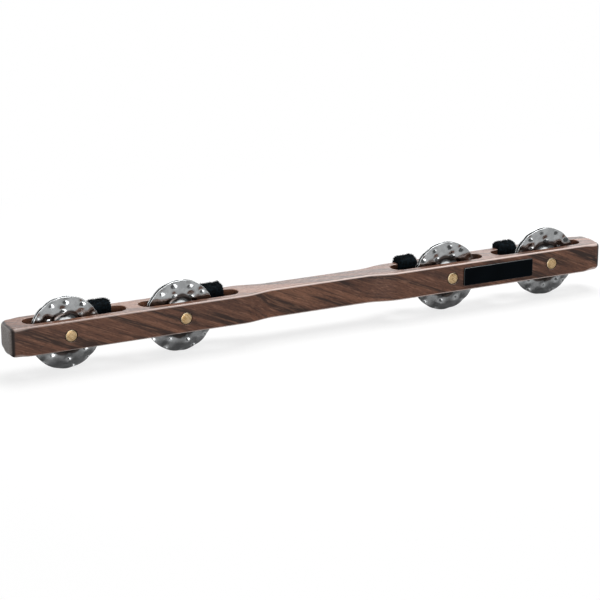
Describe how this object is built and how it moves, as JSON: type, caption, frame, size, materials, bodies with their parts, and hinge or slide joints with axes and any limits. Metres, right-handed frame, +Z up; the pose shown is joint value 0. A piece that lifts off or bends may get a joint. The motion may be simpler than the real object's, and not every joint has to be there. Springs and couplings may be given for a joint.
{
  "type": "jingle stick",
  "caption": "Hand-held percussion stick: waisted walnut bar with slots at both ends, paired hammered steel jingles on brass pins and sliding fleece dampers.",
  "frame": {"origin": "middle of the stick: half way along it, across it and up it, on the line of the pins", "axes": "+X along the stick towards the end with the plate, +Y from the front face to the back, +Z up"},
  "size_m": [0.4414, 0.0284, 0.0484],
  "materials": {
    "oiled_walnut": "oiled, open grain, sanded edges",
    "turned_brass": "turned, lightly brushed ends",
    "hammered_steel": "hammered, bright",
    "black_fleece": "napped fleece",
    "black_gloss_plate": "high gloss, bare"
  },
  "bodies": {
    "stick": {"stick_body": "oiled_walnut", "pin_1": "turned_brass", "pin_2": "turned_brass", "pin_3": "turned_brass", "pin_4": "turned_brass", "label_plate": "black_gloss_plate"},
    "jingle_1_rear": {"jingle_1_rear": "hammered_steel"},
    "jingle_1_front": {"jingle_1_front": "hammered_steel"},
    "damper_1": {"damper_1": "black_fleece"},
    "jingle_2_rear": {"jingle_2_rear": "hammered_steel"},
    "jingle_2_front": {"jingle_2_front": "hammered_steel"},
    "damper_2": {"damper_2": "black_fleece"},
    "jingle_3_rear": {"jingle_3_rear": "hammered_steel"},
    "jingle_3_front": {"jingle_3_front": "hammered_steel"},
    "damper_3": {"damper_3": "black_fleece"},
    "jingle_4_rear": {"jingle_4_rear": "hammered_steel"},
    "jingle_4_front": {"jingle_4_front": "hammered_steel"},
    "damper_4": {"damper_4": "black_fleece"}
  },
  "joints": [
    {"name": "jingle_1_spin", "type": "hinge", "parent": "stick", "child": "jingle_1_rear", "pos_m": [-0.18, 0.001, -0.001], "axis": [0, 1, 0], "continuous": true},
    {"name": "jingle_1_clash", "type": "slide", "parent": "jingle_1_rear", "child": "jingle_1_front", "axis": [0, 1, 0], "range_m": [-0.0012, 0.001]},
    {"name": "damper_1_slide", "type": "slide", "parent": "stick", "child": "damper_1", "axis": [1, 0, 0], "range_m": [-0.006, 0.0015]},
    {"name": "jingle_2_spin", "type": "hinge", "parent": "stick", "child": "jingle_2_rear", "pos_m": [-0.1, 0.001, -0.001], "axis": [0, 1, 0], "continuous": true},
    {"name": "jingle_2_clash", "type": "slide", "parent": "jingle_2_rear", "child": "jingle_2_front", "axis": [0, 1, 0], "range_m": [-0.0012, 0.001]},
    {"name": "damper_2_slide", "type": "slide", "parent": "stick", "child": "damper_2", "axis": [1, 0, 0], "range_m": [-0.006, 0.0015]},
    {"name": "jingle_3_spin", "type": "hinge", "parent": "stick", "child": "jingle_3_rear", "pos_m": [0.1, 0.001, -0.001], "axis": [0, 1, 0], "continuous": true},
    {"name": "jingle_3_clash", "type": "slide", "parent": "jingle_3_rear", "child": "jingle_3_front", "axis": [0, 1, 0], "range_m": [-0.0012, 0.001]},
    {"name": "damper_3_slide", "type": "slide", "parent": "stick", "child": "damper_3", "axis": [1, 0, 0], "range_m": [-0.0015, 0.006]},
    {"name": "jingle_4_spin", "type": "hinge", "parent": "stick", "child": "jingle_4_rear", "pos_m": [0.18, 0.001, -0.001], "axis": [0, 1, 0], "continuous": true},
    {"name": "jingle_4_clash", "type": "slide", "parent": "jingle_4_rear", "child": "jingle_4_front", "axis": [0, 1, 0], "range_m": [-0.0012, 0.001]},
    {"name": "damper_4_slide", "type": "slide", "parent": "stick", "child": "damper_4", "axis": [1, 0, 0], "range_m": [-0.0015, 0.006]}
  ]
}
